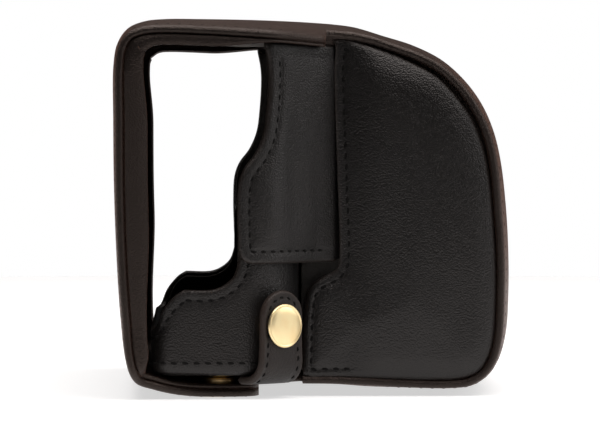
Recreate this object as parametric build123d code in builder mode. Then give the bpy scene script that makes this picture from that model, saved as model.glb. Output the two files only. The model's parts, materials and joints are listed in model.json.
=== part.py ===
"""Leather ever ready case for a compact camera, in millimetres.

X runs across the width and X = 0 is the plane of symmetry. -Y is the front, where the lens nose is.
+Y is the back. Z = 0 is the surface that the closed case stands on.
"""

from build123d import *
import os
from math import acos, atan2, cos, hypot, radians, sin

# ---- driving dimensions ----
# half-case (the tray that stays on the camera)
tray_half_width = 67.0
tray_front = 4.2
tray_back = 40.6
tray_bottom = 5.5
column_top = 46.0
front_corner_radius = 18.0
rear_corner_radius = 6.0
tray_leather = 2.0
tray_lining = 0.6
board_thickness = 1.2
pad_thickness = 0.8
base_edge_radius = 4.0
lens_scoop_radius = 33.0
lens_axis_z = 48.0

# cover, rear half
cover_half_width = 70.0
lip_thickness = 2.0
cover_leather = 1.6
cover_board = 0.8
cover_lining = 0.5
notch_y = -4.6
fold_gap = 0.4

# cover, nose
nose_half_width = 54.0
nose_panel = 2.3
nose_leather = 1.8
nose_lining = 0.6
piping_width = 1.7
piping_height = 2.1
nose_rear = 3.3
tail_rear = 13.2
tail_top = 5.3
tail_thickness = 2.0

# wings: the ears that close the shoulder between the nose and the camera's ends
wing_thickness = 2.2
wing_gap = 0.5
wing_bottom = 32.6
wing_lining_thickness = 0.5
wing_tuck = 6.0

# flap under the tray
flap_thickness = 3.0
flap_front = 14.2
flap_half_width_front = 56.0
flap_half_width_back = 66.0

# snap tabs
tab_width = 12.8
tab_thickness = 2.0
tab_standoff = 1.5
tab_angle = 40.0
tab_round_z = 19.8
snap_z = 17.6
tab_bend_z = 9.5
cap_radius = 5.3
cap_height = 1.0
stud_radius = 4.2
stud_recess = 0.55
rivet_radius = 1.4

# screw that holds the camera, 1/4-20
screw_radius = 3.175
screw_y = 22.4
bush_radius = 6.5
bush_clearance = 0.15
screw_head_radius = 8.0
screw_neck_radius = 2.6
screw_reach = 5.0
coin_slot = (12.0, 1.6)

# press studs between flap and tray
base_snap_x = 53.5
base_snap_y = 24.0
base_snap_radius = 4.0
cap_sink = 1.0
cap_shank_radius = 1.5
socket_bore = 2.0

parts_folder = "parts"
os.makedirs(parts_folder, exist_ok=True)


def save(builder, label):
    builder.part.label = label
    export_step(builder.part, os.path.join(parts_folder, label + ".step"))


def save_pair(left, label):
    """The left piece and its mirror image, as two nodes."""
    with BuildPart() as right:
        mirror(left.part, about=Plane.YZ)
    save(left, "left_" + label)
    save(right, "right_" + label)


# ---- shared geometry ----
corner_x = -(tray_half_width - front_corner_radius)
corner_y = tray_front + front_corner_radius
tray_floor = tray_bottom + tray_leather
board_top = tray_floor + board_thickness
pad_top = board_top + pad_thickness

# The wing's outer face is an arc round the tray's front corner, then a straight slant to the nose.
wing_radius = front_corner_radius + wing_gap + wing_thickness
panel_inner = nose_half_width - nose_panel
wing_end_x = -panel_inner + 0.1
wing_seam_y = notch_y + 0.7
to_end = (wing_end_x - corner_x, wing_seam_y - corner_y)
slant_angle = atan2(-to_end[0], -to_end[1]) + acos(wing_radius / hypot(*to_end))
slant_normal = (-sin(slant_angle), -cos(slant_angle))
slant_direction = (-slant_normal[1], slant_normal[0])


def on_corner(radius, angle):
    """A point round the tray's left front corner, at an angle in degrees from -X towards -Y."""
    return (corner_x - radius * cos(radians(angle)), corner_y - radius * sin(radians(angle)))


# The snap tab stands on the left front corner; tab_plane looks along it and snap_plane faces it.
outward = (-cos(radians(tab_angle)), -sin(radians(tab_angle)))
along = (outward[1], -outward[0])
tab_foot = on_corner(front_corner_radius, tab_angle)
tab_plane = Plane(origin=(*tab_foot, 0), x_dir=(*outward, 0), z_dir=(*along, 0))
snap_plane = Plane(origin=(*tab_foot, snap_z), x_dir=(*along, 0), z_dir=(*outward, 0))
right_snap_plane = Plane(
    origin=(-tab_foot[0], tab_foot[1], snap_z),
    x_dir=(-along[0], along[1], 0),
    z_dir=(-outward[0], outward[1], 0),
)
snap_planes = (snap_plane, right_snap_plane)


def tray_plan(inset, top, bottom):
    """The tray's plan as a solid block: rounded rear corners and large front corners."""
    width = tray_half_width - inset
    front = tray_front + inset
    back = tray_back - inset
    with BuildPart() as block:
        with BuildSketch(Plane.XY.offset(bottom)) as plan:
            with BuildLine():
                FilletPolyline(
                    (0, back), (-width, back), (-width, corner_y), radius=rear_corner_radius - inset / 2
                )
                arc_radius = front_corner_radius - inset
                RadiusArc((-width, corner_y), (corner_x, front), -arc_radius)
                Line((corner_x, front), (0, front))
                Line((0, front), (0, back))
            make_face()
            mirror(about=Plane.YZ)
        extrude(amount=top - bottom)
    return block.part


def tray_side_block(drop, half_width):
    """Seen from the side: low rear wall, side wall and tall front column."""
    rear_wall_top = 17.0 - drop
    side_wall_top = 26.4 - drop
    with BuildPart() as block:
        with BuildSketch(Plane.YZ.offset(-half_width)):
            with BuildLine():
                Line((tray_back + 1, 0), (tray_back + 1, rear_wall_top))
                Line((tray_back + 1, rear_wall_top), (40.2, rear_wall_top))
                ThreePointArc((40.2, rear_wall_top), (38.6, 22.6 - drop), (34.5, side_wall_top))
                Line((34.5, side_wall_top), (25.5, side_wall_top))
                ThreePointArc(
                    (25.5, side_wall_top), (20.9, 28.2 - drop), (18.9, side_wall_top + 6.6)
                )
                Line((18.9, side_wall_top + 6.6), (18.9, column_top - drop))
                Line((18.9, column_top - drop), (0, column_top - drop))
                Line((0, column_top - drop), (0, 0))
                Line((0, 0), (tray_back + 1, 0))
            make_face()
        extrude(amount=2 * half_width)
    return block.part


def disc(radius, low, high, x=0.0, y=0.0, hole=0.0):
    """An upright round plate or ring."""
    with BuildPart() as plate:
        with BuildSketch(Plane.XY.offset(low)):
            with Locations((x, y)):
                Circle(radius)
                if hole:
                    Circle(hole, mode=Mode.SUBTRACT)
        extrude(amount=high - low)
    return plate.part


side_block = tray_side_block(0.0, tray_half_width + 1)
lining_block = tray_side_block(1.2, tray_half_width + 1)

# ---- half-case shell ----
tray_core = tray_plan(tray_leather, column_top + 1, tray_floor)
with BuildPart() as half_case_shell:
    add(tray_plan(0.0, column_top, tray_bottom))
    base_edges = half_case_shell.faces().sort_by(Axis.Z)[0].edges()
    fillet(base_edges.filter_by(lambda edge: edge.center().Y < corner_y), base_edge_radius)
    add(tray_core, mode=Mode.SUBTRACT)
    add(side_block, mode=Mode.INTERSECT)
    with BuildSketch(Plane.XZ.offset(-tray_front - 10)):
        with Locations((0, lens_axis_z)):
            Circle(lens_scoop_radius)
    extrude(amount=20, both=False, mode=Mode.SUBTRACT)
    with Locations((0, screw_y, tray_bottom)):
        Cylinder(bush_radius, 20, mode=Mode.SUBTRACT)
    for stud_plane in snap_planes:
        with BuildSketch(stud_plane.offset(-stud_recess)):
            Circle(stud_radius)
        extrude(amount=5, mode=Mode.SUBTRACT)
        with BuildSketch(stud_plane.offset(-6)):
            Circle(rivet_radius + 0.1)
        extrude(amount=8, mode=Mode.SUBTRACT)
save(half_case_shell, "half_case_shell")

# ---- half-case lining, floor board and floor pad ----
lining_outer = tray_plan(tray_leather, column_top, board_top)
lining_inner = tray_plan(tray_leather + tray_lining, column_top + 1, board_top - 1)
with BuildPart() as half_case_lining:
    add(lining_outer)
    add(lining_inner, mode=Mode.SUBTRACT)
    add(lining_block, mode=Mode.INTERSECT)
    with BuildSketch(Plane.XZ.offset(-tray_front - 10)):
        with Locations((0, lens_axis_z)):
            Circle(lens_scoop_radius + 1.2)
    extrude(amount=20, mode=Mode.SUBTRACT)
    for stud_plane in snap_planes:
        with BuildSketch(stud_plane.offset(-6)):
            Circle(rivet_radius + 0.1)
        extrude(amount=8, mode=Mode.SUBTRACT)
save(half_case_lining, "half_case_lining")

with BuildPart() as base_board:
    add(tray_plan(tray_leather, board_top, tray_floor))
    with Locations((0, screw_y, tray_floor)):
        Cylinder(bush_radius, 10, mode=Mode.SUBTRACT)
save(base_board, "base_board")

with BuildPart() as floor_pad:
    add(tray_plan(tray_leather + tray_lining, pad_top, board_top))
    with Locations((0, screw_y, board_top)):
        Cylinder(bush_radius, 10, mode=Mode.SUBTRACT)
save(floor_pad, "floor_pad")

# ---- captive camera screw, its bush and clip ----
with BuildPart() as screw_bush:
    add(disc(bush_radius, tray_bottom, board_top, 0, screw_y, screw_neck_radius + bush_clearance))
save(screw_bush, "screw_bush")

screw_head_low = flap_thickness + 0.3
screw_head_high = tray_bottom - 0.3
thread_tip = pad_top + screw_reach
clip_low = board_top + 0.15
with BuildPart() as camera_screw:
    add(disc(screw_head_radius, screw_head_low, screw_head_high, 0, screw_y))
    add(disc(screw_neck_radius, screw_head_high, pad_top, 0, screw_y))
    add(disc(screw_radius, pad_top, thread_tip, 0, screw_y))
    chamfer(camera_screw.faces().sort_by(Axis.Z)[-1].edges(), 0.5)
    with Locations((0, screw_y, screw_head_low)):
        Box(coin_slot[0], coin_slot[1], coin_slot[1], mode=Mode.SUBTRACT)
save(camera_screw, "camera_screw")

with BuildPart() as screw_clip:
    add(disc(bush_radius - 1.1, clip_low, pad_top - 0.1, 0, screw_y, screw_neck_radius))
save(screw_clip, "screw_clip")

# ---- flap under the tray, with the fold up to the cover's back ----
fold_y = 45.6
fold_z = 5.4
flap_outer_end = (fold_y - 0.2, fold_z - fold_gap)
flap_inner_end = (fold_y - 2.2, fold_z - fold_gap)
with BuildPart() as rear_flap:
    with BuildSketch(Plane.YZ.offset(-cover_half_width)):
        with BuildLine():
            Line((flap_front, 0), (30.0, 0))
            Spline((30.0, 0), (39.2, 1.3), flap_outer_end, tangents=((1, 0), (0.6, 1)))
            Line(flap_outer_end, flap_inner_end)
            Spline(flap_inner_end, (39.6, 3.35), (35.0, flap_thickness), tangents=((-0.8, -1), (-1, 0)))
            Line((35.0, flap_thickness), (flap_front, flap_thickness))
            Line((flap_front, flap_thickness), (flap_front, 0))
        make_face()
    extrude(amount=2 * cover_half_width)
    with BuildSketch(Plane.XY.offset(-1)):
        with BuildLine():
            FilletPolyline(
                (0, flap_front),
                (-flap_half_width_front, flap_front),
                (-flap_half_width_back, 38.0),
                (-flap_half_width_back, 50.0),
                radius=4.0,
            )
            Line((-flap_half_width_back, 50.0), (0, 50.0))
            Line((0, 50.0), (0, flap_front))
        make_face()
        mirror(about=Plane.YZ)
    extrude(amount=20, mode=Mode.INTERSECT)
    with Locations((-base_snap_x, base_snap_y, 0), (base_snap_x, base_snap_y, 0)):
        Cylinder(base_snap_radius + 1.2, 2 * cap_sink, mode=Mode.SUBTRACT)
        Cylinder(cap_shank_radius + 0.1, 3 * flap_thickness, mode=Mode.SUBTRACT)
save(rear_flap, "rear_flap")

# ---- press studs between flap and tray ----
snap_spots = ((-base_snap_x, base_snap_y), (base_snap_x, base_snap_y))
with BuildPart() as flap_snap_caps:
    for x, y in snap_spots:
        add(disc(base_snap_radius + 1.0, 0.1, cap_sink - 0.1, x, y))
        add(disc(cap_shank_radius, cap_sink - 0.1, flap_thickness, x, y))
save(flap_snap_caps, "flap_snap_caps")

with BuildPart() as flap_snap_sockets:
    for x, y in snap_spots:
        add(disc(base_snap_radius, flap_thickness, flap_thickness + 1.5, x, y, socket_bore))
    rims = flap_snap_sockets.faces().group_by(Axis.Z)[-1].edges()
    chamfer(rims, 0.3)
save(flap_snap_sockets, "flap_snap_sockets")

with BuildPart() as flap_snap_studs:
    for x, y in snap_spots:
        add(disc(base_snap_radius + 0.3, tray_bottom - 0.6, tray_bottom, x, y))
        add(disc(socket_bore - 0.15, flap_thickness + 0.3, tray_bottom - 0.6, x, y))
save(flap_snap_studs, "flap_snap_studs")


# ---- cover, rear half: back and top in one band, crowned across the width ----
def back_and_top(crown, back_inset, top_inset, nape_inset):
    """The line up the back, round the corner and along the top; crown is 0 at the edge, 1 in the middle."""
    foot = (44.9 + 0.9 * crown - back_inset, fold_z + fold_gap)
    knee = (46.3 + 3.3 * crown - back_inset, 34.0)
    middle = (47.1 + 3.2 * crown - back_inset, 58.0)
    shoulder = (47.2 + 3.3 * crown - back_inset, 81.0 + 1.5 * crown)
    crest = (38.6 + 1.8 * crown, 89.8 + 3.1 * crown - top_inset)
    crown_line = (18.0, 89.2 + 3.6 * crown - (top_inset + nape_inset) / 2)
    nape = (notch_y + fold_gap, 86.6 + 5.0 * crown - nape_inset)
    bend = 0.707
    bend_y = crest[0] + bend * (shoulder[0] - crest[0])
    bend_z = shoulder[1] + bend * (crest[1] - shoulder[1])
    Spline(foot, knee, middle, shoulder, tangents=((0.1, 1), (0, 1)))
    ThreePointArc(shoulder, (bend_y, bend_z), crest)
    Spline(crest, crown_line, nape, tangents=((-1, 0), (-1, -0.1)))
    return foot, nape


def cover_section(x, crown, outer, inner):
    """A closed strip between two insets of the back and top line; an inset is (back, top, nape)."""
    with BuildSketch(Plane.YZ.offset(x)) as section:
        with BuildLine():
            outer_foot, outer_nape = back_and_top(crown, *outer)
            inner_foot, inner_nape = back_and_top(crown, *inner)
            Line(outer_foot, inner_foot)
            Line(outer_nape, inner_nape)
        make_face()
    return section.sketch


# The cover narrows in plan from the camera's width to the nose's; this corner is where it starts to.
lip_gap = 0.4
slant_start_x = corner_x + (wing_radius + lip_gap) * slant_normal[0]
slant_start_y = corner_y + (wing_radius + lip_gap) * slant_normal[1]
lip_inner = cover_half_width - lip_thickness
slant_back = (lip_inner + slant_start_x) / slant_direction[0]
shoulder_y = slant_start_y - slant_back * slant_direction[1]
slant_end = (
    slant_start_x + 24.0 * slant_direction[0],
    slant_start_y + 24.0 * slant_direction[1],
)
lip_plan = ((-lip_inner, 60.0), (-lip_inner, shoulder_y), slant_end)
lip_bend = 12.0


def cover_layer(start, thickness):
    """One layer of the back and top: leather, board or lining."""
    edge = lip_inner
    outer = (start, start, start)
    inner = (start + thickness, start + thickness, start + thickness)
    sections = [cover_section(x, crown, outer, inner) for x, crown in ((-edge, 0), (0, 1), (edge, 0))]
    with BuildPart() as layer:
        loft(sections=sections)
        with BuildSketch(Plane.XY):
            with BuildLine():
                FilletPolyline(*lip_plan, radius=lip_bend)
                Polyline(slant_end, (0, slant_end[1]), (0, 60.0), lip_plan[0])
            make_face()
            mirror(about=Plane.YZ)
        extrude(amount=100, mode=Mode.INTERSECT)
    return layer


save(cover_layer(0.0, cover_leather), "cover_leather")
save(cover_layer(cover_leather, cover_board), "cover_board")
save(cover_layer(cover_leather + cover_board, cover_lining), "cover_lining")

with BuildPart() as left_lip:
    with BuildSketch(Plane.XY):
        with BuildLine():
            FilletPolyline(*lip_plan, radius=lip_bend)
            offset(amount=lip_thickness, side=Side.RIGHT)
        make_face()
    extrude(amount=100)
    with BuildSketch(Plane.YZ.offset(-cover_half_width - 1)):
        with BuildLine():
            outer_foot, outer_nape = back_and_top(0, 0.0, 0.0, 0.0)
            inner_foot, inner_nape = back_and_top(0, 6.1, 4.6, 2.8)
            Line(outer_foot, inner_foot)
            Line(outer_nape, inner_nape)
        make_face()
    extrude(amount=cover_half_width, mode=Mode.INTERSECT)

# ---- nose band: one leather strip over the top, down the front and back under ----
nose_edge = (
    (-5.0, 89.3), (-23.5, 84.4), (-35.5, 75.1), (-43.6, 56.6), (-45.9, 31.0),
    (-45.3, 14.0), (-43.3, 5.8), (-38.5, 1.9), (-33.0, 1.5), (-12.0, 2.2), (nose_rear, 3.2),
)
nose_middle = (
    (-5.0, 91.6), (-25.2, 87.0), (-39.3, 78.0), (-47.6, 62.2), (-50.4, 31.0),
    (-49.8, 14.0), (-47.5, 4.9), (-42.0, 0.7), (-34.0, 0.0), (-12.0, 0.0), (nose_rear, 1.9),
)
inward = (
    (0.0, -1.0), (0.35, -0.94), (0.71, -0.71), (0.95, -0.31), (1.0, 0.0),
    (1.0, 0.08), (0.83, 0.55), (0.3, 0.95), (0.0, 1.0), (0.0, 1.0), (0.0, 1.0),
)


def nose_line(crown, inset):
    """The nose's side outline from its top rear, round the front, to its bottom rear."""
    points = []
    for edge_point, middle_point, way in zip(nose_edge, nose_middle, inward):
        y = edge_point[0] + crown * (middle_point[0] - edge_point[0]) + inset * way[0]
        z = edge_point[1] + crown * (middle_point[1] - edge_point[1]) + inset * way[1]
        points.append((y, z))
    Spline(*points[:9], tangents=((-1, -0.08), (1, 0)))
    Polyline(*points[8:])
    return points[0], points[-1]


def nose_section(x, crown, outer, inner):
    """A closed strip between two insets of the nose outline."""
    with BuildSketch(Plane.YZ.offset(x)) as section:
        with BuildLine():
            outer_top, outer_bottom = nose_line(crown, outer)
            inner_top, inner_bottom = nose_line(crown, inner)
            Line(outer_top, inner_top)
            Line(outer_bottom, inner_bottom)
        make_face()
    return section.sketch


def nose_layer(edge, start, thickness):
    """One layer of the nose band: leather or lining."""
    spots = ((-edge, 0), (0, 1), (edge, 0))
    with BuildPart() as layer:
        loft(sections=[nose_section(x, crown, start, start + thickness) for x, crown in spots])
    return layer


band_edge = panel_inner - 0.2
save(nose_layer(band_edge, 0.0, nose_leather), "nose_band")
save(nose_layer(band_edge - nose_lining, nose_leather, nose_lining), "nose_lining")

# ---- rolled seam round each nose panel ----
with BuildPart() as left_nose_piping:
    extrude(nose_section(-band_edge, 0, 0.0, piping_width), amount=piping_height, dir=(-1, 0, 0))

# ---- nose side panels ----
panel_clear = piping_width + 0.05
step_top = 31.6
with BuildPart() as left_nose_panel:
    with BuildSketch(Plane.YZ.offset(-nose_half_width)):
        with BuildLine():
            panel_top, panel_bottom = nose_line(0, panel_clear)
            Line(panel_bottom, (nose_rear + 0.1, 13.4))
            Spline(
                (nose_rear + 0.1, 13.4), (2.5, 25.7), (-1.1, 28.9), (-5.1, step_top), (-5.4, 36.0),
                tangents=((0, 1), (0, 1)),
            )
            Spline((-5.4, 36.0), (-5.0, 53.2), (-4.4, 72.3), panel_top, tangents=((0, 1), (-0.1, 1)))
        make_face()
    extrude(amount=nose_panel)

lining_rear = wing_seam_y - wing_tuck - 0.6
gusset_low = 6.0
gusset_height = wing_bottom - 0.2 - gusset_low
with BuildPart() as left_nose_side_lining:
    with BuildSketch(Plane.YZ.offset(-panel_inner + 0.1)):
        with BuildLine():
            lining_top, lining_bottom = nose_line(0, nose_leather + 0.1)
            Line(lining_top, lining_bottom)
        make_face()
        with Locations((lining_rear + 20, 46)):
            Rectangle(40, 100, mode=Mode.SUBTRACT)
        with Locations((lining_rear - 1, gusset_low)):
            gusset_length = tray_front - 0.5 - lining_rear + 1
            Rectangle(gusset_length, gusset_height, align=(Align.MIN, Align.MIN))
    extrude(amount=nose_lining - 0.1)

# ---- wings ----
wing_leather = wing_thickness - wing_lining_thickness


def wing_layer(outer_radius, thickness, rim_inset):
    """A layer of the left wing: an arc round the tray's corner, a slant, and a tuck under the panel."""
    tuck_x = wing_end_x + (wing_radius - outer_radius)
    rear_angle = 5.0
    tangent_point = (
        corner_x + outer_radius * slant_normal[0],
        corner_y + outer_radius * slant_normal[1],
    )
    run = (tuck_x - tangent_point[0]) / slant_direction[0]
    bend_point = (tuck_x, tangent_point[1] + run * slant_direction[1])
    with BuildPart() as layer:
        with BuildSketch(Plane.XY.offset(wing_bottom + rim_inset)):
            with BuildLine():
                rear = on_corner(outer_radius, rear_angle)
                middle = on_corner(outer_radius, 25.0)
                ThreePointArc(rear, middle, tangent_point)
                Line(tangent_point, bend_point)
                Line(bend_point, (tuck_x, wing_seam_y - wing_tuck))
                offset(amount=thickness, side=Side.LEFT)
            make_face()
        extrude(amount=60)
        with BuildSketch(Plane.YZ.offset(-cover_half_width - 5)):
            with BuildLine():
                Line((-20.0, wing_bottom), (16.2, wing_bottom))
                Spline(
                    (16.2, wing_bottom), (19.1 - rim_inset, 35.6), (19.4 - rim_inset, 45.8),
                    (17.7 - rim_inset, 55.8), (12.8 - rim_inset, 63.9), (11.4 - rim_inset, 76.0),
                    (12.0 - rim_inset, 85.0), tangents=((1, 0), (0.1, 1)),
                )
                Line((12.0 - rim_inset, 85.0), (notch_y, 83.4))
                Line((notch_y, 83.4), (-20.0, 80.6))
                Line((-20.0, 80.6), (-20.0, wing_bottom))
            make_face()
        extrude(amount=40, mode=Mode.INTERSECT)
    return layer


left_wing = wing_layer(wing_radius, wing_leather, 0.0)
left_wing_lining = wing_layer(wing_radius - wing_leather, wing_lining_thickness, 0.8)

# ---- snap tab on the tray's left front corner ----
tab_tip = tab_round_z + tab_width / 2
inner_bend = tab_bend_z - tail_top
outer_bend = inner_bend + tab_thickness
bend_centre = (tab_standoff - inner_bend, tab_bend_z)
hinge_angle = 45.0
hinge_slack = 2.0


def bend_point(radius, angle):
    """A point on the tab's bend, at an angle in degrees below level."""
    return (
        bend_centre[0] + radius * cos(radians(angle)),
        bend_centre[1] - radius * sin(radians(angle)),
    )


def bend_sector(low_angle, high_angle):
    """The stretch of the tab's bend between two angles below level."""
    size = high_angle - low_angle
    CenterArc(bend_centre, inner_bend, -high_angle, size)
    CenterArc(bend_centre, outer_bend, -high_angle, size)
    Line(bend_point(inner_bend, low_angle), bend_point(outer_bend, low_angle))
    Line(bend_point(inner_bend, high_angle), bend_point(outer_bend, high_angle))


with BuildPart() as left_tab:
    with BuildSketch(tab_plane):
        with BuildLine():
            bend_sector(0.0, hinge_angle - hinge_slack)
        make_face()
        with Locations((tab_standoff, tab_bend_z)):
            Rectangle(tab_thickness, tab_tip - tab_bend_z, align=(Align.MIN, Align.MIN))
    extrude(amount=tab_width / 2, both=True)
    tip_edges = left_tab.edges().filter_by(lambda edge: edge.center().Z > tab_tip - 0.01)
    across = tip_edges.filter_by(lambda edge: abs(edge.length - tab_thickness) < 0.01)
    fillet(across, tab_width / 2 - 0.1)
    with BuildSketch(snap_plane):
        Circle(1.5)
    extrude(amount=10, mode=Mode.SUBTRACT)

with BuildPart() as left_tab_root:
    with BuildSketch(tab_plane):
        with BuildLine():
            bend_sector(hinge_angle + hinge_slack, 90.0)
        make_face()
    extrude(amount=tab_width / 2, both=True)

cap_low = tab_standoff + tab_thickness
with BuildPart() as left_tab_cap:
    with BuildSketch(snap_plane.offset(cap_low)):
        Circle(cap_radius)
    extrude(amount=cap_height)
    fillet(left_tab_cap.faces().sort_by(Axis(tab_plane.origin, snap_plane.z_dir))[-1].edges(), 0.6)
    with BuildSketch(snap_plane.offset(tab_standoff)):
        Circle(1.4)
    extrude(amount=tab_thickness)

with BuildPart() as left_tab_socket:
    with BuildSketch(snap_plane.offset(0.6)):
        Circle(base_snap_radius)
        Circle(socket_bore, mode=Mode.SUBTRACT)
    extrude(amount=tab_standoff - 0.6)

# ---- male snap halves on the columns, and their rivet backs inside ----
rivet_depth = tray_leather + tray_lining + stud_recess
with BuildPart() as column_studs:
    for stud_plane in snap_planes:
        with BuildSketch(stud_plane.offset(-stud_recess)):
            Circle(stud_radius)
        extrude(amount=0.5)
        with BuildSketch(stud_plane.offset(0.5 - stud_recess)):
            Circle(1.8)
        extrude(amount=0.35)
save(column_studs, "column_studs")

with BuildPart() as column_rivets:
    for stud_plane in snap_planes:
        with BuildSketch(stud_plane.offset(-rivet_depth - 0.5)):
            Circle(3.6)
        extrude(amount=0.5)
        with BuildSketch(stud_plane.offset(-rivet_depth)):
            Circle(rivet_radius)
        extrude(amount=tray_leather + tray_lining)
save(column_rivets, "column_rivets")


# ---- tongue under the tray that carries both tabs ----
def beside_tab(out, aside):
    """A plan point out from the tray's corner and aside along the tab, rearwards."""
    return (
        tab_foot[0] + out * outward[0] + aside * along[0],
        tab_foot[1] + out * outward[1] + aside * along[1],
    )


with BuildPart() as nose_tongue:
    with BuildSketch(Plane.XY.offset(tail_top - tail_thickness)):
        with BuildLine():
            Polyline(
                (0, nose_rear + 0.1),
                (-band_edge, nose_rear + 0.1),
                beside_tab(bend_centre[0], -tab_width / 2),
                beside_tab(bend_centre[0], tab_width / 2),
                (-flap_half_width_front - 3.0, tail_rear + 1.0),
                (-flap_half_width_front, tail_rear),
                (0, tail_rear),
                (0, nose_rear + 0.1),
            )
        make_face()
        mirror(about=Plane.YZ)
    extrude(amount=tail_thickness)
save(nose_tongue, "nose_tongue")

save_pair(left_lip, "lip")
save_pair(left_nose_piping, "nose_piping")
save_pair(left_nose_panel, "nose_panel")
save_pair(left_nose_side_lining, "nose_side_lining")
save_pair(left_wing, "wing")
save_pair(left_wing_lining, "wing_lining")
save_pair(left_tab, "tab")
save_pair(left_tab_root, "tab_root")
save_pair(left_tab_cap, "tab_cap")
save_pair(left_tab_socket, "tab_socket")
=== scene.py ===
"""Looks of the leather ever ready case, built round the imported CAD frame.

Lengths inside the helpers are millimetres in the row frame; every mesh is written in metres.
Leather pieces are cut as flat outlines (u, v) and laid on a surface by a placing function, or swept
along the case's side outline. Each one has its own thickness, turned edges, seam grooves and stitches.
"""

import json
import math

import bmesh
import bpy
import numpy as np
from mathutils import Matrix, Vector, geometry, kdtree


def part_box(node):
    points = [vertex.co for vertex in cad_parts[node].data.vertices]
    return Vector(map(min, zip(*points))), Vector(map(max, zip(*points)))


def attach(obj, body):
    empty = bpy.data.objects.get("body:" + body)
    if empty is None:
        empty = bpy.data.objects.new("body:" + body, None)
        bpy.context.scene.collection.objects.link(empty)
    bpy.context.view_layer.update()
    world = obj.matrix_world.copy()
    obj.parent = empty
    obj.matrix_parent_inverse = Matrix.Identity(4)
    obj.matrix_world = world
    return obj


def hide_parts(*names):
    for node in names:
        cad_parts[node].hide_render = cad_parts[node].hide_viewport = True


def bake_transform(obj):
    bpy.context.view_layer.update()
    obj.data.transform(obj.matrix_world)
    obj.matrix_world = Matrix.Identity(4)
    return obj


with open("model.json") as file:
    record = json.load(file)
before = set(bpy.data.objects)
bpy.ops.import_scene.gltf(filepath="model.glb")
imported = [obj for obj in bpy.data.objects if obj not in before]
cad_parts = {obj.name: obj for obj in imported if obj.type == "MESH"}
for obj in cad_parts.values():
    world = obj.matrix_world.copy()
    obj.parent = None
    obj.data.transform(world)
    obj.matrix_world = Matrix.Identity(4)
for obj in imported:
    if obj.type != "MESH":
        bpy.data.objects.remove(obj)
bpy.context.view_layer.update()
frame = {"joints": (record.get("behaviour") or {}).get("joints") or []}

MM = 0.001
SIDES = (("left", 1), ("right", -1))


def mm_box(node):
    """A CAD node's lowest and highest corner, in millimetres."""
    low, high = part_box(node)
    return np.array(low) / MM, np.array(high) / MM


# -------------------- curves


def resample(points, step):
    """Evenly spaced points along a polyline, its ends kept."""
    points = np.asarray(points, float)
    run = np.r_[0, np.cumsum(np.linalg.norm(np.diff(points, axis=0), axis=1))]
    count = max(2, int(round(run[-1] / step)) + 1)
    at = np.linspace(0, run[-1], count)
    return np.stack([np.interp(at, run, column) for column in points.T], axis=1)


def smooth(points, step):
    """A curve through the points, resampled at a step."""
    p = np.asarray(points, float)
    p = np.vstack([2 * p[0] - p[1], p, 2 * p[-1] - p[-2]])
    out = []
    for a, b, c, d in zip(p, p[1:], p[2:], p[3:]):
        t1, t2, t3 = (max(np.linalg.norm(v), 1e-6) ** 0.5 for v in (b - a, c - b, d - c))
        m1 = ((b - a) / t1 - (c - a) / (t1 + t2) + (c - b) / t2) * t2
        m2 = ((c - b) / t2 - (d - b) / (t2 + t3) + (d - c) / t3) * t2
        t = np.linspace(0, 1, 20, endpoint=False)[:, None]
        out.append(
            (2 * t**3 - 3 * t**2 + 1) * b + (t**3 - 2 * t**2 + t) * m1
            + (3 * t**2 - 2 * t**3) * c + (t**3 - t**2) * m2
        )
    out.append(p[-2:-1])
    return resample(np.vstack(out), step)


def anticlockwise(loop):
    area = np.sum(loop[:, 0] * np.roll(loop[:, 1], -1) - loop[:, 1] * np.roll(loop[:, 0], -1))
    return loop if area > 0 else loop[::-1]


def outline(*runs, step=1.2):
    """A closed outline made of runs; each run is smooth and the corners between runs stay."""
    lines = [smooth(run, step) if len(run) > 2 else resample(run, step) for run in runs]
    return anticlockwise(np.vstack([line[:-1] for line in lines]))


def legs(points):
    """Straight runs from each point to the next."""
    return [[a, b] for a, b in zip(points, points[1:])]


def distance(points, loops):
    """Distance of each point to the nearest of the segments, given as pairs of end arrays."""
    batch = 2000
    best = np.full(len(points), 1e9)
    for a, b in loops:
        ab = b - a
        size = np.maximum((ab**2).sum(1), 1e-12)
        for low in range(0, len(points), batch):
            p = points[low : low + batch, None, :]
            t = np.clip(((p - a) * ab).sum(2) / size, 0, 1)
            gap = np.linalg.norm(p - (a + t[..., None] * ab), axis=2).min(1)
            best[low : low + batch] = np.minimum(best[low : low + batch], gap)
    return best


def inside(points, loop):
    """Which points lie inside a closed outline."""
    x, y = points[:, 0], points[:, 1]
    result = np.zeros(len(points), bool)
    for (x1, y1), (x2, y2) in zip(loop, np.roll(loop, -1, axis=0)):
        if y1 == y2:
            continue
        crosses = (y1 > y) != (y2 > y)
        result ^= crosses & (x < (x2 - x1) * (y - y1) / (y2 - y1) + x1)
    return result


def inward(loop):
    """Unit normals that point into a closed outline."""
    tangent = np.roll(loop, -1, axis=0) - np.roll(loop, 1, axis=0)
    tangent /= np.maximum(np.linalg.norm(tangent, axis=1), 1e-9)[:, None]
    return np.stack([-tangent[:, 1], tangent[:, 0]], axis=1)


def inset_ring(loop, amount, segments):
    """Points of the outline moved inwards, where they keep that distance."""
    moved = loop + inward(loop) * amount
    keep = distance(moved, segments) > amount * 0.95
    return moved[keep & inside(moved, loop)]


def ease(value, low, high):
    t = min(max((value - low) / (high - low), 0.0), 1.0)
    return t * t * (3 - 2 * t)


# -------------------- meshes


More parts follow.
